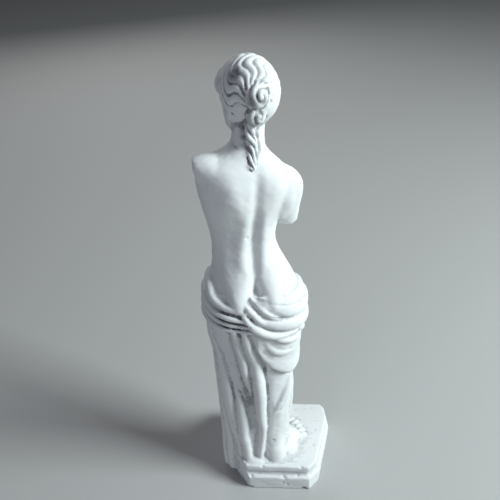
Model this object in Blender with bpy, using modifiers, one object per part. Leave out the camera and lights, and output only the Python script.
"""A small draped classical goddess, armless, cast in one piece with its moulded plinth. Facing -Y, +Z up."""
import math

import bpy
import numpy as np

# The plinth, in metres, and the height of the whole casting. The figure fills what the plinth leaves.
HEIGHT = 0.200
PLINTH_WIDTH = 0.0524
PLINTH_DEPTH = 0.0404
PLINTH_HEIGHT = 0.015
# The uneven plan of the plinth, anticlockwise from the back right corner, in shares of its width and depth.
PLAN = [(-0.305, 0.500), (-0.388, 0.385), (-0.500, -0.270), (-0.480, -0.420), (-0.430, -0.500),
        (0.400, -0.500), (0.500, -0.380), (0.500, 0.080), (0.238, 0.500)]
# The side that has no moulding, because the cloth falls over it: the running number of its first corner.
PLAIN_SIDE = 7
# The moulding from the top down: heights of the upper band and the hollow, and how far each sits in.
TOP_BAND = 0.0036
HOLLOW = 0.0030
BAND_INSET = 0.0014
HOLLOW_INSET = 0.0021
ARRIS = 0.0003
# Where the figure's axis stands on the plinth, and how deep its foot runs into it.
AXIS_X = 0.008
AXIS_Y = 0.005
ROOT = 2.4
# The voxel that casts the overlapping shapes into one skin, in figure units, and the triangles kept.
VOXEL = 0.75
TRIANGLES = 9300
# How strongly the joins of the body are eased, and how many light passes settle the whole skin.
EASING = 9
SETTLING = 2
# Edges sharper than this many degrees are shaded as creases.
SHARP = 50

# Every table below is in figure units, of which the finished figure is about 185 tall above the plinth.
TURN = 2*math.pi


def through(keys, values, at):
    """A smooth curve through pairs of key and value, without overshoot."""
    k = np.asarray(keys, float)
    v = np.asarray(values, float)
    h = np.diff(k)
    s = np.diff(v)/h
    m = np.empty_like(v)
    total = np.where(s[:-1]+s[1:] == 0, 1, s[:-1]+s[1:])
    m[1:-1] = np.where(s[:-1]*s[1:] > 0, 2*s[:-1]*s[1:]/total, 0)
    m[0], m[-1] = s[0], s[-1]
    at = np.clip(np.asarray(at, float), k[0], k[-1])
    i = np.clip(np.searchsorted(k, at, side="right")-1, 0, len(k)-2)
    t = (at-k[i])/h[i]
    return ((2*t**3-3*t**2+1)*v[i] + (t**3-2*t**2+t)*h[i]*m[i]
            + (-2*t**3+3*t**2)*v[i+1] + (t**3-t**2)*h[i]*m[i+1])


def path_through(points, count):
    """A smooth path of this many points through the given ones, and the running number of the given point."""
    at = np.linspace(0, len(points)-1, count)
    keys = np.arange(len(points))
    columns = [through(keys, [p[i] for p in points], at) for i in range(len(points[0]))]
    return np.stack(columns, axis=-1), at


def bell(x, centre, spread):
    return np.exp(-((x-centre)/spread)**2)


def ramp(x, low, high):
    t = np.clip((x-low)/(high-low), 0, 1)
    return t*t*(3-2*t)


def window(x, low, high, soft):
    return ramp(x, low-soft, low+soft)*(1-ramp(x, high-soft, high+soft))


def swell(q):
    """A soft mound over the unit disc, q being the squared distance from its middle."""
    return np.clip(1-q, 0, 1)**0.85


def closed_grid(rings):
    """The skin through rings of points, closed at both ends by a fan: (points, faces)."""
    n, m, _ = rings.shape
    index = np.arange(n*m).reshape(n, m)
    a, d = index[:-1], index[1:]
    quads = np.stack([a, np.roll(a, -1, axis=1), np.roll(d, -1, axis=1), d], axis=-1).reshape(-1, 4)
    points = np.concatenate([rings.reshape(-1, 3), rings[:1].mean(1), rings[-1:].mean(1)])
    low = np.stack([np.roll(index[0], -1), index[0], np.full(m, n*m)], axis=-1)
    high = np.stack([index[-1], np.roll(index[-1], -1), np.full(m, n*m+1)], axis=-1)
    return points, quads.tolist()+low.tolist()+high.tolist()


def tube(path, radii, normal, sides=14):
    """An oval carried along a path: radii holds its half size along the normal and across it."""
    p = np.asarray(path, float)
    t = np.gradient(p, axis=0)
    t /= np.linalg.norm(t, axis=1)[:, None]
    n = np.broadcast_to(np.asarray(normal, float), p.shape)
    n = n-(n*t).sum(1)[:, None]*t
    n = n/np.linalg.norm(n, axis=1)[:, None]
    b = np.cross(t, n)
    r = np.asarray(radii, float)
    if r.ndim == 1:
        r = np.stack([r, r], axis=1)
    a = np.arange(sides)*TURN/sides
    out = r[:, None, :1]*np.cos(a)[None, :, None]*n[:, None]
    across = r[:, None, 1:]*np.sin(a)[None, :, None]*b[:, None]
    return closed_grid(p[:, None]+out+across)


def ellipsoid(centre, radii, rows=36, around=48):
    v = np.linspace(0.03, math.pi-0.03, rows)[:, None]
    u = np.arange(around)*TURN/around
    ball = np.stack([np.sin(v)*np.cos(u), np.sin(v)*np.sin(u), -np.cos(v)*np.ones_like(u)], axis=-1)
    return closed_grid(ball*np.asarray(radii, float)+np.asarray(centre, float))


def turned(axis, degrees):
    c, s = math.cos(math.radians(degrees)), math.sin(math.radians(degrees))
    return {"x": np.array([[1, 0, 0], [0, c, -s], [0, s, c]]),
            "y": np.array([[c, 0, s], [0, 1, 0], [-s, 0, c]]),
            "z": np.array([[c, -s, 0], [s, c, 0], [0, 0, 1]])}[axis]


# The stance. Over the height: how far the body shifts sideways and back, turns, and tilts.
STANCE_Z = [0, 60, 92, 105, 119, 135, 150, 158, 172, 190]
SHIFT_X = [0, -0.4, -1.0, 0.6, 2.2, 1.8, 0.3, -1.3, -2.4, -2.6]
SHIFT_Y = [0.6, 0.2, 0.2, -0.6, -1.5, 0.3, 1.9, 1.2, -1.0, -2.2]
TWIST = [0, 0, 0, 3, 9, 15, 18, 18, 18, 18]
TILT = [0, 0, -0.10, -0.09, -0.02, 0.11, 0.20, 0.12, 0, 0]


def in_stance(part):
    """The part, modelled standing straight, with its weight put on the right leg."""
    points, faces = part
    x, y, z = points[:, 0], points[:, 1], points[:, 2]
    t = np.radians(through(STANCE_Z, TWIST, z))
    return np.stack([x*np.cos(t)-y*np.sin(t)+through(STANCE_Z, SHIFT_X, z),
                     x*np.sin(t)+y*np.cos(t)+through(STANCE_Z, SHIFT_Y, z),
                     z+x*through(STANCE_Z, TILT, z)], axis=-1), faces


# The trunk from below the hips to the skull: half width, depth in front and depth behind.
TRUNK_Z = [78, 86, 92, 100, 107, 113, 119, 126, 132, 138, 144, 149, 152, 155, 158, 163, 172]
TRUNK_WIDE = [16.5, 17.8, 18.0, 16.6, 14.3, 12.5, 11.8, 12.6, 13.9, 15.1, 16.0, 15.4, 12.4,
              8.0, 5.6, 5.1, 5.2]
TRUNK_FRONT = [9.6, 10.2, 10.4, 10.2, 9.5, 8.9, 8.5, 8.8, 9.2, 9.1, 8.2, 7.0, 6.0, 5.3, 5.0, 5.0, 5.2]
TRUNK_BACK = [9.8, 10.4, 10.4, 9.8, 8.6, 7.8, 7.4, 7.9, 8.6, 9.1, 9.0, 8.3, 7.4, 6.4, 5.6, 5.2, 5.0]

# The line of the spine and the cleft, aside of the middle because the left shoulder is thrown back.
SPINE_Z = [78, 98, 107, 119, 135, 150, 165]
SPINE_X = [-2.0, -2.2, -2.4, -3.0, -3.3, -2.8, 0]


def trunk(rows=170, around=150):
    z = np.linspace(TRUNK_Z[0], TRUNK_Z[-1], rows)[:, None]
    u = np.arange(around)*TURN/around
    wide, fore, aft = (through(TRUNK_Z, t, z) for t in (TRUNK_WIDE, TRUNK_FRONT, TRUNK_BACK))
    c, s = np.cos(u), np.sin(u)
    x = wide*np.sign(c)*np.abs(c)**0.86
    y = np.where(s > 0, aft, fore)*np.sign(s)*np.abs(s)**0.86
    ax = np.abs(x)
    # Behind: the furrow of the spine, the long muscles beside it, shoulder blades, dimples, seat and cleft.
    off = x-through(SPINE_Z, SPINE_X, z)
    aside = np.abs(off)
    d = -1.35*bell(off, 0, 1.9)*window(z, 106, 150, 5)*(0.75+0.4*bell(z, 119, 13))
    d = d+0.9*bell(aside, 4.2, 2.5)*window(z, 107, 136, 6)
    d = d+1.1*bell(aside, 9.2, 3.8)*bell(z, 142.5, 7.0)+0.4*bell(aside, 6.2, 1.8)*bell(z, 138.5, 5.0)
    d = d-0.4*bell(aside, 5.2, 2.0)*bell(z, 129, 5)
    d = d-0.4*bell(aside, 4.4, 1.5)*bell(z, 108.5, 2.0)
    d = d+5.2*np.exp(-((aside-7.0)/6.0)**2-((z-97.5)/8.8)**2)
    d = d-3.6*bell(off, 0, 1.6)*(1-ramp(z, 98, 108))
    y = y+ramp(s, -0.05, 0.45)*d
    # In front: breasts, collar bones, breastbone, arch of the ribs, navel and belly.
    rise = np.where(z > 134.5, (z-134.5)/10.0, (z-134.5)/5.4)
    f = 5.2*swell(((ax-6.8)/5.9)**2+rise**2)
    f = f-0.5*bell(x, 0, 1.7)*window(z, 127, 148, 4)
    f = f+0.6*bell(z, 150.2+0.10*ax, 1.0)*window(ax, 2.2, 13, 1.2)
    f = f-0.7*bell(x, 0, 1.6)*bell(z, 150.5, 1.5)
    f = f-0.4*bell(x, 0, 1.6)*window(z, 112, 127, 3)
    f = f+0.5*bell(ax, 4.2, 2.2)*window(z, 112, 126, 4)
    f = f+0.5*bell(z, 127.5-0.28*ax, 2.4)*window(ax, 2.5, 11, 2)
    f = f-1.2*np.exp(-(x/1.0)**2-((z-110.5)/1.2)**2)
    f = f+1.6*np.exp(-(x/8.0)**2-((z-101)/8.5)**2)
    f = f-0.8*np.exp(-((ax-9.5)/2.4)**2-((z-106)/6)**2)
    y = y-ramp(-s, -0.05, 0.45)*f
    return in_stance(closed_grid(np.stack([x, y, z*np.ones_like(x)], axis=-1)))


def right_arm():
    """The upper arm, broken off half way down."""
    bones = [(-9.0, 0.6, 146.4), (-14.2, 0.5, 145.4), (-16.9, 0.4, 139.5), (-16.2, -0.8, 124.6)]
    path, t = path_through(bones, 44)
    r = through([0, 0.6, 1.2, 2, 3], [4.4, 5.0, 5.4, 4.8, 4.0], t)
    r = r*(1-0.12*ramp(t, 2.85, 3.0))
    return in_stance(tube(path, np.stack([r, r*0.96], axis=1), (-1.0, 0, 0.2), 40))


def left_shoulder():
    """The left arm is broken off at the shoulder, close to the side of the chest."""
    path, t = path_through([(6.0, 0.6, 147.0), (11.0, 0.1, 147.6), (15.2, -0.9, 146.7)], 26)
    high = through([0, 1, 2], [4.6, 5.6, 5.2], t)*(1-0.16*ramp(t, 1.8, 2.0))
    deep = through([0, 1, 2], [4.6, 5.2, 4.6], t)*(1-0.16*ramp(t, 1.8, 2.0))
    return in_stance(tube(path, np.stack([high, deep], axis=1), (0.1, 0.1, 1.0), 40))


# The head has its own frame: the middle of the skull, facing -Y. Half width, depth in front, depth behind.
SKULL_Z = [-13.2, -12.4, -11, -9, -6.5, -3.5, 0, 3.5, 7, 10, 11.8, 12.5]
SKULL_WIDE = [2.0, 3.8, 5.2, 6.6, 7.5, 8.0, 8.2, 8.3, 7.9, 6.0, 3.6, 1.2]
SKULL_FRONT = [8.2, 9.2, 9.6, 9.6, 9.5, 9.4, 9.3, 9.4, 8.8, 6.6, 4.0, 1.4]
SKULL_BACK = [-3.5, -1.5, 0.8, 3.6, 6.8, 9.4, 10.6, 10.9, 10.0, 7.6, 4.6, 1.6]
# The face by its usual proportions: the eyes half way down the head, brow, nose and chin a third apart.
BROW = 1.7
EYE_LEVEL = -0.3
EYE_APART = 3.2
NOSE_BASE = -5.0
MOUTH = -7.5
CHIN = -11.0
HEAD_AT = np.array([-1.8, -2.2, 171.8])
HEAD_TURN = turned("y", 3) @ turned("z", 33) @ turned("x", 4)


def on_head(part):
    points, faces = part
    return np.asarray(points)@HEAD_TURN.T+HEAD_AT, faces


def skull(rows=120, around=140):
    t = np.linspace(0, 1, rows)[:, None]
    z = SKULL_Z[0]+(SKULL_Z[-1]-SKULL_Z[0])*(0.5-0.5*np.cos(t*math.pi))
    u = np.arange(around)*TURN/around
    wide, fore, aft = (through(SKULL_Z, k, z) for k in (SKULL_WIDE, SKULL_FRONT, SKULL_BACK))
    c, s = np.cos(u), np.sin(u)
    x = wide*np.sign(c)*np.abs(c)**0.9
    y = (aft-fore)/2+(aft+fore)/2*np.sign(s)*np.abs(s)**0.9
    ax = np.abs(x)
    # Brow, eye hollows, eyeballs with their lids, and cheeks.
    aside = ax-EYE_APART
    d = 0.35*np.exp(-((ax-3.6)/2.6)**2-((z-BROW-0.16*ax+0.035*ax**2)/0.9)**2)
    d = d-1.15*np.exp(-(aside/2.0)**2-((z-EYE_LEVEL-0.1)/1.5)**2)
    d = d-0.55*np.exp(-((ax-1.7)/0.8)**2-((z-EYE_LEVEL-0.3)/1.1)**2)
    d = d+1.15*np.exp(-((aside/1.75)**2+((z-EYE_LEVEL+0.1)/1.15)**2)**1.4)
    lid = z-EYE_LEVEL-0.62+0.17*aside**2
    d = d+0.30*bell(lid, 0, 0.30)*window(ax, EYE_APART-1.7, EYE_APART+1.8, 0.4)
    d = d-0.28*bell(lid, 0.75, 0.35)*window(ax, EYE_APART-1.6, EYE_APART+1.9, 0.4)
    d = d+0.20*bell(z-EYE_LEVEL+0.85-0.13*aside**2, 0, 0.28)*window(ax, EYE_APART-1.5, EYE_APART+1.6, 0.4)
    d = d+0.55*np.exp(-((ax-4.4)/2.4)**2-((z-NOSE_BASE-1.4)/2.6)**2)
    # The nose from bridge to tip, its underside and its wings.
    down = np.clip((BROW-z)/(BROW-NOSE_BASE), 0, 1)
    bridge = (0.9+1.9*down**1.5)*(1-ramp(NOSE_BASE-z, -0.5, 0.5))*ramp(-z, -BROW-2.0, -BROW+1.2)
    d = d+bridge*np.exp(-(x/(0.85+0.75*down))**2)
    d = d+0.75*np.exp(-((ax-1.35)/0.65)**2-((z-NOSE_BASE-0.55)/0.75)**2)
    # Lips and chin.
    d = d+0.70*np.exp(-(x/3.4)**2-((z-MOUTH)/2.6)**2)
    d = d-0.25*np.exp(-(x/0.6)**2-((z-MOUTH-1.5)/0.6)**2)
    d = d+0.55*np.exp(-(x/2.2)**2-((z-MOUTH-0.60+0.05*ax**2-0.06*ax)/0.45)**2)
    d = d+0.65*np.exp(-(x/1.8)**2-((z-MOUTH+0.72)/0.55)**2)
    d = d-0.75*np.exp(-(x/2.4)**2-((z-MOUTH-0.04*ax)/0.26)**2)
    d = d-0.45*np.exp(-(x/1.9)**2-((z-MOUTH+1.75)/0.6)**2)
    d = d+0.85*np.exp(-(x/2.3)**2-((z-CHIN)/1.3)**2)
    y = y-ramp(-s, 0.1, 0.75)*d
    return closed_grid(np.stack([x, y, z*np.ones_like(x)], axis=-1))


# The hair lies on an oval cap and is gathered behind, above the nape.
CAP_AT = np.array([0, 1.6, 2.2])
CAP_SIZE = np.array([8.7, 10.3, 10.2])
GATHER = np.array([2.4, 11.3, 2.2])
LOCKS = 25
LOCK_WIDE = 1.5
WAVE = 0.16


def lock_of_hair(number):
    """One lock, from the hairline over the cap to where the hair is gathered."""
    g = TURN*(number+0.5)/LOCKS
    first = np.array([0.98*math.sin(g), -0.66*math.cos(g)-0.18, 0.64*math.cos(g)-0.10])
    first /= np.linalg.norm(first)
    last = (GATHER-CAP_AT)/CAP_SIZE
    last /= np.linalg.norm(last)
    between = math.acos(first@last)
    t = np.linspace(0, 1, 48)[:, None]
    d = (np.sin((1-t)*between)*first+np.sin(t*between)*last)/math.sin(between)
    side = np.cross(first, last)/math.sin(between)
    # Neighbouring locks wave nearly together, and every third one lies a little prouder.
    wave = WAVE*np.sin(TURN*1.7*t+0.75*number)*np.sin(math.pi*t)**0.6
    d = d+side*wave
    d /= np.linalg.norm(d, axis=1)[:, None]
    proud = 0.040+0.015*math.cos(TURN*number/3)
    path = CAP_AT+d*CAP_SIZE*(1+proud*np.sin(math.pi*t)**0.7)
    wide = LOCK_WIDE*(1+0.18*math.sin(2.3*number))
    r = wide*(0.5+0.5*np.sin(math.pi*np.clip(t[:, 0]*1.05+0.05, 0, 1))**0.6)
    return tube(path, np.stack([r*0.6, r*0.92], axis=1), d, 10)


def twisted(path, normal, spread, thick, turns, strands, taper=0.0):
    """Strands wound round a path. Spread is how far each lies from it."""
    t = np.linspace(0, 1, len(path))
    along = np.gradient(path, axis=0)
    along /= np.linalg.norm(along, axis=1)[:, None]
    n = np.broadcast_to(np.asarray(normal, float), path.shape)
    n = n-(n*along).sum(1)[:, None]*along
    n /= np.linalg.norm(n, axis=1)[:, None]
    b = np.cross(along, n)
    shrink = (1-taper*t)[:, None]
    made = []
    for k in range(strands):
        a = (TURN*(turns*t+k/strands))[:, None]
        line = path+spread*shrink*(np.cos(a)*n+np.sin(a)*b)
        made.append(tube(line, thick*shrink[:, 0], n*np.cos(a)+b*np.sin(a), 10))
    return made


def side_roll(side):
    """The twisted roll of hair that frames the face, from the parting to behind the ear."""
    path, _ = path_through([(0.4*side, -8.3, 8.0), (5.2*side, -6.8, 6.8), (8.2*side, -2.6, 3.4),
                            (8.5*side, 2.4, -0.4), (5.8*side, 8.0, -1.8), (1.0*side, 10.6, -1.2)], 60)
    return twisted(path, path-CAP_AT, 0.8, 1.2, 3.2, 2)


# The strands of the knot of hair: points beside the place where it is gathered, and how thick each strand is.
COILED = [
    ([(3.4, -0.6, -1.6), (3.0, 0.4, 1.6), (1.0, 1.2, 3.6), (-1.6, 1.2, 3.2), (-2.9, 0.9, 0.4),
      (-2.4, 0.5, -2.8)], 1.3),
    ([(2.3, 0.4, -2.8), (1.9, 1.2, 0.4), (0.2, 1.7, 1.8), (-0.9, 1.7, -0.4), (-0.4, 1.2, -3.0)], 1.15),
    ([(-1.9, 0.4, -2.8), (0.4, 1.3, -2.9), (2.3, 0.8, -4.4), (2.7, -0.2, -6.6), (1.8, -0.6, -8.0)], 1.25),
    ([(-1.9, 0.4, -4.0), (-1.8, 1.1, -5.9), (-0.2, 1.0, -7.6), (1.3, 0.7, -7.0), (1.2, 1.3, -5.4),
      (0.2, 1.6, -4.6)], 1.1),
]


def ear(side):
    """The lower part of an ear below the hair: its bowl, and the rim curling round it to the lobe."""
    rim, _ = path_through([(8.0*side, -0.4, -1.0), (8.5*side, 0.6, 0.4), (8.9*side, 2.0, 0.2),
                           (8.8*side, 2.5, -1.4), (8.4*side, 1.9, -3.2), (7.9*side, 0.7, -4.9)], 40)
    thick = 0.55+0.35*np.linspace(0, 1, 40)**3
    return [ellipsoid((7.9*side, 0.9, -1.9), (0.7, 1.7, 2.9)), tube(rim, thick, (1, 0, 0), 12)]


def hair():
    made = [ellipsoid(CAP_AT, CAP_SIZE, 60, 80)]
    made += [lock_of_hair(k) for k in range(LOCKS)]
    made += side_roll(1)+side_roll(-1)
    made.append(ellipsoid(GATHER+(0.1, -0.8, 0.4), (3.0, 2.2, 3.6)))
    made.append(ellipsoid(GATHER+(0.4, -1.4, -5.4), (2.8, 2.6, 3.2)))
    for points, thick in COILED:
        path, t = path_through(points, 60)
        made.append(tube(path+GATHER, thick*(0.45+0.55*np.sin(math.pi*t/t[-1])**0.5), (0, 1, 0), 12))
    made = [on_head(part) for part in made+ear(1)+ear(-1)]
    # The loose end hangs twisted down the nape and lies between the shoulders.
    nape = [(-3.4, 6.4, 166.4), (-3.2, 6.6, 162.6), (-3.3, 6.5, 158.6), (-3.2, 7.6, 155.0),
            (-3.1, 9.0, 151.8)]
    path, _ = path_through(nape, 70)
    return made+twisted(path, (0, 1, 0), 0.75, 1.35, 2.1, 2, taper=0.45)


# The draped cloth stands on a ground surface: for each height its middle, half width, and depths.
CLOTH_Z = [-3, 12, 28, 41, 52, 66, 76, 86, 93, 100, 107]
CLOTH_X = [1.0, 0.7, 0.2, 0.0, 0.0, -0.1, 0.0, -0.7, -1.0, -0.6, 0.4]
CLOTH_Y = [0.6, 0.6, 0.6, 0.5, 0.3, 0.2, 0.2, 0.2, 0.2, 0.0, -0.4]
CLOTH_WIDE = [15.4, 14.8, 15.0, 15.6, 15.8, 16.4, 18.0, 19.0, 18.4, 16.8, 14.4]
CLOTH_FRONT = [9.6, 9.3, 9.5, 10.0, 10.4, 10.8, 11.2, 11.4, 11.2, 10.6, 9.8]
CLOTH_BACK = [8.8, 8.2, 8.0, 8.2, 8.8, 10.0, 11.6, 13.9, 14.2, 12.8, 9.8]


# Deep valleys between the folds behind: heights, angles at those, half width in degrees, share of the depth.
VALLEYS = [([22, 31, 41, 53, 67, 79], [85, 82.5, 79.5, 71.5, 66.5, 66.5], 4.5, 0.16),
           ([9, 18, 30, 46, 54, 68, 85], [89.5, 92, 90.5, 86.5, 86.5, 82, 74.5], 4.5, 0.12),
           ([22, 34, 41, 51, 59, 68], [107, 109, 105, 106, 102, 94.5], 6.0, 0.20)]


def on_cloth(angle, z):
    """A point of the ground surface. Angle in degrees: 0 the figure's left side, 90 its back."""
    c, s = np.cos(np.radians(angle)), np.sin(np.radians(angle))
    tables = (CLOTH_X, CLOTH_Y, CLOTH_WIDE, CLOTH_FRONT, CLOTH_BACK)
    mx, my, wide, fore, aft = (through(CLOTH_Z, table, z) for table in tables)
    keep = 1.0
    for heights, angles, half, deep in VALLEYS:
        apart = np.mod(angle, 360)-through(heights, angles, z)
        keep = keep-deep*bell(apart, 0, half)*window(z, heights[0], heights[-1], 5)
    x = mx+keep*wide*np.sign(c)*np.abs(c)**0.88
    y = my+keep*np.where(s > 0, aft, fore)*np.sign(s)*np.abs(s)**0.88
    # The free left leg presses thigh, knee and shin forward under the cloth, and the right one less.
    left = 3.0*np.exp(-((x-8.4)/5.6)**2-((z-72)/15)**2)+4.0*np.exp(-((x-8.8)/4.6)**2-((z-50)/9)**2)
    left = left+2.0*np.exp(-((x-9.6)/4.2)**2-((z-26)/17)**2)
    right = 1.6*np.exp(-((x+9.0)/5.4)**2-((z-66)/20)**2)+0.9*np.exp(-((x+8.6)/4.6)**2-((z-47)/7)**2)
    y = y-ramp(-s, 0.0, 0.5)*(left+right)
    # The calf of the right leg shows a little behind.
    y = y+ramp(s, 0.0, 0.6)*0.9*np.exp(-((x+8.0)/5.0)**2-((z-36)/10)**2)
    return np.stack(np.broadcast_arrays(x, y, z), axis=-1)


def off_cloth(angle, z):
    """The outward direction of the ground surface."""
    step = 0.5
    across = on_cloth(angle+step, z)-on_cloth(angle-step, z)
    n = np.cross(across, on_cloth(angle, z+step)-on_cloth(angle, z-step))
    return n/np.linalg.norm(n, axis=-1)[..., None]


# The lower edge of the cloth, by angle. It lifts over the right foot and falls over the plinth at the left.
HEM_ANGLE = [0, 14, 66, 80, 95, 101, 108, 117, 128, 140, 152, 168, 185, 205, 235, 262, 290, 320, 360]
HEM_Z = [-3, -11.5, -11.5, -3, -3, 4.0, 17, 27, 28, 21, 12, 7.5, 6.0, 5.5, 4.5, 3.0, 2.0, -3, -3]
# How high the ground surface reaches, and the mass under it, as a share of its width and how high it is.
CLOTH_TOP = 100.5
CORE_SHARE = 0.70
CORE_TOP = 32


def cloth_ground(rows=150, around=240):
    angle = np.arange(around)*360.0/around
    hem = through(HEM_ANGLE, HEM_Z, angle)
    t = np.linspace(0, 1, rows)[:, None]
    return closed_grid(on_cloth(angle[None, :]+0*t, hem+t*(CLOTH_TOP-hem)))


def core(rows=12, around=60):
    """The solid mass under the cloth, so that no hollow opens between the hem and the plinth."""
    z = np.linspace(-ROOT, CORE_TOP, rows)[:, None]
    skin = on_cloth(np.arange(around)*360.0/around, z)
    middle = np.stack([through(CLOTH_Z, CLOTH_X, z), through(CLOTH_Z, CLOTH_Y, z), z], axis=-1)
    return closed_grid(middle+(skin-middle)*(CORE_SHARE, CORE_SHARE, 1))


def fold(points, high, off=0.0, start=0.25, end=0.8, lift=0.12, sides=14):
    """A fold over points of (angle, height, half width). High is its depth as a share of the width."""
    line, t = path_through(points, 16*len(points))
    s = t/t[-1]
    keep = np.maximum(np.sin(math.pi*s)**0.5, np.where(s < 0.5, start, end))
    wide = line[:, 2]*keep
    n = off_cloth(line[:, 0], line[:, 1])
    path = on_cloth(line[:, 0], line[:, 1])+n*(wide*high*lift+off*keep)[:, None]
    return tube(path, np.stack([wide*high, wide], axis=1), n, sides)


# Folds that hang, each from the roll at the hips to the hem.
HANGING = [
    ([(66, 90, 1.4), (70, 85, 1.8), (75, 72, 2.0), (79, 59, 1.9), (82, 50, 1.6), (84, 42, 1.0)], 1.15),
    ([(80, 90, 1.6), (83, 85, 2.2), (88, 74, 2.6), (92, 63, 2.8), (95, 52, 2.9), (96, 41.5, 2.7),
      (97.5, 30, 2.3), (99.5, 21, 2.0), (99, 14, 1.9), (96.5, 6, 1.8), (95, -2, 1.8)], 1.1),
    ([(58, 52, 1.2), (65, 41, 1.9), (69, 29, 2.5), (70.5, 17, 2.7), (75, 9.5, 2.9), (80, -2, 3.0)], 0.85),
    ([(24, 88, 2.0), (32, 62, 3.2), (39, 46, 3.4), (43, 33, 2.9), (51, 21, 2.5), (61, 12, 2.3),
      (65, 2, 2.0), (66, -8, 1.6)], 0.65),
    ([(10, 88, 1.8), (12, 66, 2.6), (18, 44, 2.7), (27, 24, 2.4), (35, 8, 2.5), (40, -11, 2.2)], 0.7),
    ([(-4, 86, 1.6), (-2, 66, 2.2), (2, 42, 2.5), (10, 18, 2.6), (17, 0, 2.8), (20, -11, 2.4)], 0.75),
    ([(342, 86, 1.4), (343, 64, 2.0), (345, 40, 2.3), (350, 16, 2.5), (354, 0, 2.8), (356, -7.5, 2.6)], 0.85),
    ([(330, 84, 1.2), (327, 62, 1.6), (328, 36, 1.9), (332, 14, 2.2), (335, -2, 2.4)], 0.9),
    ([(318, 40, 0.9), (316, 26, 1.4), (316, 12, 1.8), (318, -2, 2.0)], 0.9),
    ([(300, 30, 0.8), (298, 18, 1.3), (297, 8, 1.7), (296, 1, 1.9)], 0.9),
    ([(281, 62, 1.0), (284, 44, 1.6), (282, 24, 1.8), (281, 8, 2.0), (280, 1, 2.1)], 1.1),
    ([(269, 88, 1.6), (271, 66, 2.3), (272, 42, 2.6), (268, 20, 2.5), (266, 2, 2.8)], 1.15),
    ([(258, 88, 1.6), (258, 66, 2.1), (257, 42, 2.3), (253, 20, 2.4), (250, 3, 2.6)], 1.2),
    ([(247, 86, 1.3), (246, 62, 1.7), (243, 40, 1.9), (240, 22, 2.1), (237, 7, 2.2)], 1.0),
    ([(229, 66, 1.0), (231, 50, 1.5), (230, 32, 1.8), (226, 12, 2.0)], 0.8),
    ([(212, 78, 1.4), (214, 56, 2.0), (215, 34, 2.2), (211, 13, 2.3)], 0.75),
    ([(192, 52, 1.0), (195, 42, 1.6), (196, 30, 1.9), (193, 17, 2.0)], 0.75),
    ([(168, 55, 0.8), (155, 48, 1.1), (142, 42.5, 1.4), (129, 36.5, 1.5), (117, 32, 1.2)], 0.75),
    ([(170, 32, 0.8), (158, 25, 1.3), (147, 17, 1.5), (143, 13, 1.4)], 0.7),
    ([(178, 46, 1.0), (180, 34, 1.6), (177, 20, 1.8), (172, 8, 1.9)], 0.65),
]
# Folds pulled across, and how far they stand off the ground surface: on the overfall and over the left thigh.
PULLED = [
    ([(100, 84, 1.1), (107, 78, 1.5), (120, 73, 1.7), (146, 71, 1.6), (176, 73, 1.2)], 0.6, 1.9),
    ([(106, 86, 1.1), (122, 81, 1.5), (146, 78, 1.6), (178, 80, 1.2)], 0.6, 1.7),
    ([(97, 79, 1.1), (102, 72, 1.6), (112, 66, 1.8), (134, 62, 1.7), (160, 61, 1.5),
      (186, 66, 1.1)], 0.65, 1.9),
    ([(150, 84, 1.0), (172, 79, 1.5), (192, 76, 1.5), (208, 80, 1.1)], 0.6, 1.9),
    ([(168, 73, 1.0), (184, 70, 1.4), (200, 73, 1.2)], 0.6, 1.9),
    ([(270, 82, 1.0), (288, 78, 1.5), (312, 78, 1.6), (338, 82, 1.2)], 0.5, 0),
    ([(270, 76, 0.9), (284, 69, 1.4), (304, 66, 1.5), (330, 70, 1.1)], 0.45, 0),
    ([(248, 82, 1.0), (234, 77, 1.4), (216, 78, 1.4), (196, 84, 1.0)], 0.5, 0),
]
# The rolled upper edge: strands of (angle, height, half width), the left bundle, then the right one over it.
ROLLED = [
    ([(266, 91, 1.4), (310, 97, 1.9), (350, 102.5, 2.1), (376, 102.2, 2.0), (396, 98.3, 1.9),
      (416, 96.6, 1.9), (438, 95.8, 1.8), (458, 94, 1.4)], 0.95),
    ([(268, 88.5, 1.6), (312, 93.2, 2.3), (352, 98, 2.6), (380, 97, 2.4), (402, 93.8, 1.9),
      (424, 92.6, 1.9), (446, 91.6, 1.7), (462, 90.5, 1.3)], 1.0),
    ([(270, 86, 1.5), (316, 89, 2.1), (352, 93, 2.2), (380, 92.4, 2.0), (404, 90.4, 1.8),
      (428, 89.2, 1.8), (458, 88.2, 1.4)], 1.0),
    ([(274, 83.5, 1.3), (318, 85, 1.8), (352, 88.4, 2.0), (380, 88.2, 1.9), (405, 87.0, 1.8),
      (432, 86.0, 1.7), (460, 85.6, 1.3)], 0.95),
    ([(98, 101.2, 1.0), (118, 99.8, 1.4), (141, 98.6, 1.6), (171, 98.0, 1.7), (205, 97.6, 1.6),
      (236, 95.3, 1.3), (264, 92, 1.1)], 0.9),
    ([(90, 100.2, 1.4), (104, 98.4, 2.2), (120, 96.4, 3.0), (141, 94.6, 3.7), (171, 93.6, 4.0),
      (205, 93.6, 3.5), (236, 92.0, 2.5), (262, 90.4, 1.6)], 0.55),
    ([(84, 97.6, 1.4), (96, 92.6, 2.1), (114, 89.0, 2.7), (140, 87.2, 3.3), (172, 86.0, 3.6),
      (205, 86.4, 3.0), (236, 86.6, 2.3), (262, 87.4, 1.6)], 0.6),
    ([(76, 98.6, 1.2), (83, 94, 1.8), (92, 88.6, 2.1), (105, 84.8, 2.0), (125, 82.8, 1.7),
      (150, 81.8, 1.4), (178, 81.2, 1.1)], 1.0),
    ([(90, 101.2, 0.9), (99, 97.4, 1.3), (111, 93.6, 1.4), (127, 91.6, 1.0)], 1.5),
    ([(82, 100, 1.1), (90, 95.6, 1.5), (100, 91, 1.5), (114, 88.2, 1.1)], 1.3),
]
KNOT = (264.0, 87.5)
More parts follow.
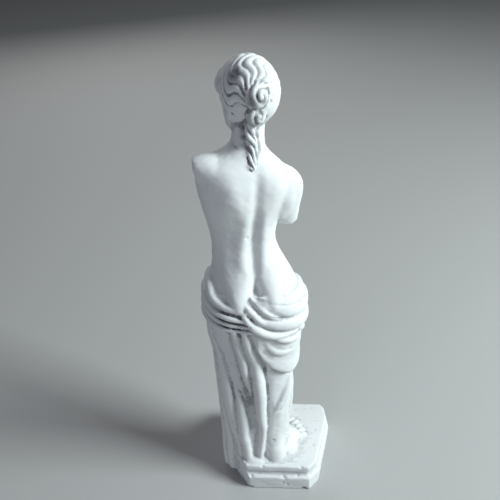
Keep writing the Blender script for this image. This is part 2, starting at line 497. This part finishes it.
# The cloth that falls from the roll over the right thigh behind: its lower edge, (angle, height).
OVERFALL = [(90, 84), (94, 77), (98, 72), (105, 67), (115, 62), (130, 58.5), (150, 56), (170, 57),
            (190, 63), (206, 72), (214, 80)]
OVERFALL_TOP = 86
OVERFALL_PROUD = 2.6
# Its section: how far down each point is, and its share of the stand-off. The edge is rounded and thick.
OVERFALL_PROFILE = [(0.0, 0.2), (0.2, 0.5), (0.45, 0.72), (0.68, 0.82), (0.82, 1.0), (0.92, 1.05),
                    (0.98, 0.8), (1.0, 0.35), (0.99, -0.1), (0.95, -0.6), (0.6, -0.8), (0.0, -0.8)]


def overfall():
    """A flap of cloth with a rounded lower edge, carried round the right hip."""
    line, _ = path_through(OVERFALL, 90)
    rows = []
    for share, out in OVERFALL_PROFILE:
        z = OVERFALL_TOP+(line[:, 1]-OVERFALL_TOP)*share
        n = off_cloth(line[:, 0], z)
        thin = np.minimum(1, 0.25+np.sin(math.pi*np.linspace(0, 1, 90))*1.6)
        rows.append(on_cloth(line[:, 0], z)+n*(OVERFALL_PROUD*out*thin)[:, None])
    return closed_grid(np.stack(rows, axis=1))


def knot():
    """Where the ends of the roll are tucked together, low on the belly, and the tail below them."""
    centre = on_cloth(np.array(KNOT[0]), np.array(KNOT[1]))
    made = [ellipsoid(centre, (3.3, 2.6, 3.6))]
    for across, lean, thick in ((-1.6, -1.4, 1.25), (0.2, -0.4, 1.4), (2.0, 0.8, 1.2)):
        bow = [(across+lean*k, -0.2-2.6*(1-k*k), 3.6*k) for k in (-1, -0.6, 0, 0.6, 1)]
        path, _ = path_through(bow, 30)
        full = 0.6+0.4*np.sin(np.linspace(0, math.pi, 30))
        made.append(tube(path+centre, thick*full, (0, -1, 0), 12))
    return made+[fold(points, high, off, start=0.5, end=0.25, lift=0.2) for points, high, off in TAIL]


# The tail of cloth under the knot: short folds ending one above the other, and how far they stand off.
TAIL = [
    ([(262, 85, 1.6), (259, 76, 1.9), (255, 66, 2.2), (251, 57, 2.4), (249, 52, 2.0)], 0.85, 1.4),
    ([(265, 85, 1.6), (265, 74, 2.0), (263, 62, 2.3), (261, 50, 2.5), (260, 44, 2.0)], 0.85, 1.8),
    ([(268, 85, 1.5), (272, 77, 1.8), (276, 68, 2.1), (279, 60, 2.2), (280, 55, 1.8)], 0.85, 1.4),
]


def hanging_fold(points, high):
    """A fold that runs out on the cloth, or keeps its width where it reaches the hem."""
    angle, low, _ = points[-1]
    at_hem = low < through(HEM_ANGLE, HEM_Z, angle % 360)+3
    return fold(points, high, end=0.8 if at_hem else 0.1)


def drapery():
    made = [cloth_ground(), core(), overfall()]
    made += [hanging_fold(points, high) for points, high in HANGING]
    made += [fold(points, high, off, start=0.1, end=0.1, lift=0) for points, high, off in PULLED]
    made += [fold(points, high, start=0.6, end=0.6, lift=0.25) for points, high in ROLLED]
    return made+knot()


# A foot in its own frame: along it from the heel, the half width, the height of its top, and its middle line.
FOOT_AT = [0, 1, 3, 6, 9, 12, 16, 19, 21.5]
FOOT_WIDE = [1.0, 2.8, 4.1, 4.2, 4.4, 4.9, 5.7, 5.9, 5.0]
FOOT_TOP = [4.5, 8, 11, 12.8, 12.0, 10.2, 7.3, 4.8, 2.2]
FOOT_MIDDLE = [0, 0, 0, 0, 0.1, 0.2, 0.0, -0.3, -0.4]
# The height at which a foot is widest.
WIDEST = 1.6
# Where each heel stands, and where the foot points, in degrees from straight ahead to the figure's right.
RIGHT_HEEL = (-3.4, 8.6, 0)
RIGHT_HEADING = 40
LEFT_HEEL = (8.8, 5.0, 0)
LEFT_HEADING = -8
# Each toe: three points along it, then its thickness, from the big toe to the small one.
TOES = [
    ((17.5, 3.2, 2.8), (21.8, 3.7, 2.6), (24.6, 3.4, 1.6), 1.75),
    ((17.5, 0.9, 3.0), (22.2, 0.9, 3.2), (25.2, 0.8, 1.4), 1.2),
    ((17.0, -1.3, 2.9), (21.9, -1.5, 3.0), (24.9, -1.5, 1.3), 1.15),
    ((16.4, -3.3, 2.7), (21.0, -3.9, 2.7), (23.9, -3.9, 1.2), 1.12),
    ((15.4, -5.0, 2.5), (19.6, -6.1, 2.3), (22.3, -6.3, 1.2), 1.12),
]


def foot(heel, heading, side):
    """A bare foot. Heading in degrees from ahead to the figure's right, side 1 for the right foot."""
    f = np.linspace(0.2, FOOT_AT[-1]-0.2, 40)
    half, top, middle = (through(FOOT_AT, k, f)[:, None] for k in (FOOT_WIDE, FOOT_TOP, FOOT_MIDDLE))
    a = np.arange(40)*TURN/40
    ca, sa = np.cos(a), np.sin(a)
    y = middle+half*np.sign(ca)*np.abs(ca)**0.9
    z = np.where(sa > 0, WIDEST+(top-WIDEST)*np.abs(sa)**0.95, WIDEST-(WIDEST+ROOT)*np.abs(sa)**0.5)
    made = [closed_grid(np.stack([f[:, None]+0*y, y, z], axis=-1)[:, ::-1])]
    for *points, thick in TOES:
        path, t = path_through(points, 20)
        full = through([0, 0.5, 1, 1.6, 2], [0.8, 0.85, 1.05, 0.95, 0.5], t)
        made.append(tube(path, thick*full, (0, 0, 1)))
    g = math.radians(heading)
    ahead = np.array([-math.sin(g), -math.cos(g), 0])
    inner = np.array([math.cos(g), -math.sin(g), 0])*side
    frame = np.stack([ahead, inner, [0, 0, 1]])
    placed = []
    for points, faces in made:
        if side < 0:
            faces = [face[::-1] for face in faces]
        placed.append((points@frame+heel, faces))
    return placed


def feet():
    """Both feet, and the ankle that shows where the cloth lifts over the right one."""
    path, t = path_through([(-7.4, 4.6, 3), (-7.6, 3.4, 12), (-8.0, 2.9, 20), (-8.2, 3.0, 32)], 30)
    ankle = tube(path, through([0, 1, 2, 3], [3.8, 3.9, 4.4, 5.2], t), (1, 0, 0), 32)
    return [ankle]+foot(RIGHT_HEEL, RIGHT_HEADING, 1)+foot(LEFT_HEEL, LEFT_HEADING, -1)


def plan_inset(plan, by):
    """The plan with every edge moved inward by this much."""
    edge = np.roll(plan, -1, axis=0)-plan
    n = np.stack([-edge[:, 1], edge[:, 0]], axis=1)
    n /= np.linalg.norm(n, axis=1)[:, None]
    c = (n*plan).sum(1)+by
    m, e = np.roll(n, 1, axis=0), np.roll(c, 1)
    det = m[:, 0]*n[:, 1]-n[:, 0]*m[:, 1]
    return np.stack([(e*n[:, 1]-c*m[:, 1])/det, (m[:, 0]*c-n[:, 0]*e)/det], axis=1)


def plinth():
    """The moulded plinth, its plan walked anticlockwise and its profile from the table up."""
    plan = np.array(PLAN)*(PLINTH_WIDTH, PLINTH_DEPTH)
    slab = PLINTH_HEIGHT-TOP_BAND-HOLLOW
    profile = [(0, ARRIS), (ARRIS, 0), (slab-ARRIS, 0), (slab, ARRIS),
               (slab+0.25*HOLLOW, HOLLOW_INSET-ARRIS), (slab+0.6*HOLLOW, HOLLOW_INSET),
               (slab+HOLLOW, HOLLOW_INSET-ARRIS), (slab+HOLLOW+ARRIS, BAND_INSET),
               (PLINTH_HEIGHT-ARRIS, BAND_INSET), (PLINTH_HEIGHT, BAND_INSET+ARRIS)]
    moulded = np.arange(len(plan)) != PLAIN_SIDE
    rings = [np.column_stack([plan_inset(plan, inset*moulded), np.full(len(plan), z)])
             for z, inset in profile]
    return closed_grid(np.stack(rings))


def mesh_of(name, parts, scale=1.0, move=(0, 0, 0)):
    """One object holding these parts, placed in metres."""
    points, faces, count = [], [], 0
    for part_points, part_faces in parts:
        points.append(np.asarray(part_points)*scale+move)
        faces += [[i+count for i in face] for face in part_faces]
        count += len(part_points)
    mesh = bpy.data.meshes.new(name)
    mesh.from_pydata(np.concatenate(points).tolist(), [], faces)
    mesh.update()
    made = bpy.data.objects.new(name, mesh)
    bpy.context.scene.collection.objects.link(made)
    return made


def take_modifiers(made):
    """The object with what its modifiers make as its mesh."""
    graph = bpy.context.evaluated_depsgraph_get()
    mesh = bpy.data.meshes.new_from_object(made.evaluated_get(graph))
    made.modifiers.clear()
    made.data = mesh
    return made


# Where the overlapping shapes of the body are eased into each other: a point of the figure, and how wide.
EASED = [((13.0, 4.5, 149), 5.5), ((-12.5, -3.0, 144), 5.5), ((-2.0, 0.5, 157), 5.0),
         ((-12.0, -2.0, 136), 4.0), ((14.5, 4.0, 139), 7.0), ((10.5, 0, 146), 5.0), ((10.5, 8.0, 146), 5.0)]


def cast(parts, name, scale, move):
    """All the parts joined into one closed skin, smooth where the body's shapes meet."""
    made = mesh_of(name, parts, scale, move)
    remesh = made.modifiers.new("one skin", "REMESH")
    remesh.mode = "VOXEL"
    remesh.voxel_size = VOXEL*scale
    take_modifiers(made)
    count = len(made.data.vertices)
    points = np.empty(count*3, np.float32)
    made.data.vertices.foreach_get("co", points)
    points = (points.reshape(-1, 3)-move)/scale
    group = made.vertex_groups.new(name="eased")
    weight = np.zeros(count)
    for at, wide in EASED:
        weight = np.maximum(weight, np.exp(-(((points-at)/wide)**2).sum(1)))
    for step in range(1, 11):
        held = np.flatnonzero(np.round(weight*10) == step)
        group.add(held.tolist(), step/10, "REPLACE")
    for label, times, masked in (("ease joins", EASING/VOXEL**2, True), ("settle", SETTLING, False)):
        smooth = made.modifiers.new(label, "SMOOTH")
        smooth.factor = 0.5
        smooth.iterations = round(times)
        smooth.vertex_group = group.name if masked else ""
    return take_modifiers(made)


def plaster():
    material = bpy.data.materials.new("cast plaster")
    material.use_nodes = True
    shader = material.node_tree.nodes["Principled BSDF"]
    shader.inputs["Base Color"].default_value = (0.78, 0.79, 0.79, 1)
    shader.inputs["Roughness"].default_value = 0.72
    return material


for old in list(bpy.data.objects):
    bpy.data.objects.remove(old)

body = [trunk(), right_arm(), left_shoulder(), on_head(skull())]
figure_parts = body+hair()+drapery()+feet()
top = max(points[:, 2].max() for points, _ in figure_parts)
unit = (HEIGHT-PLINTH_HEIGHT)/top
figure = cast(figure_parts, "statuette", unit, np.array([AXIS_X, AXIS_Y, PLINTH_HEIGHT]))
thin_out = figure.modifiers.new("fewer faces", "DECIMATE")
thin_out.ratio = TRIANGLES/(2*len(figure.data.polygons))
take_modifiers(figure)
block = mesh_of("plinth", [plinth()])
join = figure.modifiers.new("cast in one", "BOOLEAN")
join.operation = "UNION"
join.solver = "EXACT"
join.object = block
take_modifiers(figure)
bpy.data.objects.remove(block)
figure.data.materials.clear()
figure.data.materials.append(plaster())
figure.data.shade_smooth()
figure.data.set_sharp_from_angle(angle=math.radians(SHARP))
home = bpy.data.collections.new("draped goddess statuette")
bpy.context.scene.collection.children.link(home)
home.objects.link(figure)
bpy.context.scene.collection.objects.unlink(figure)
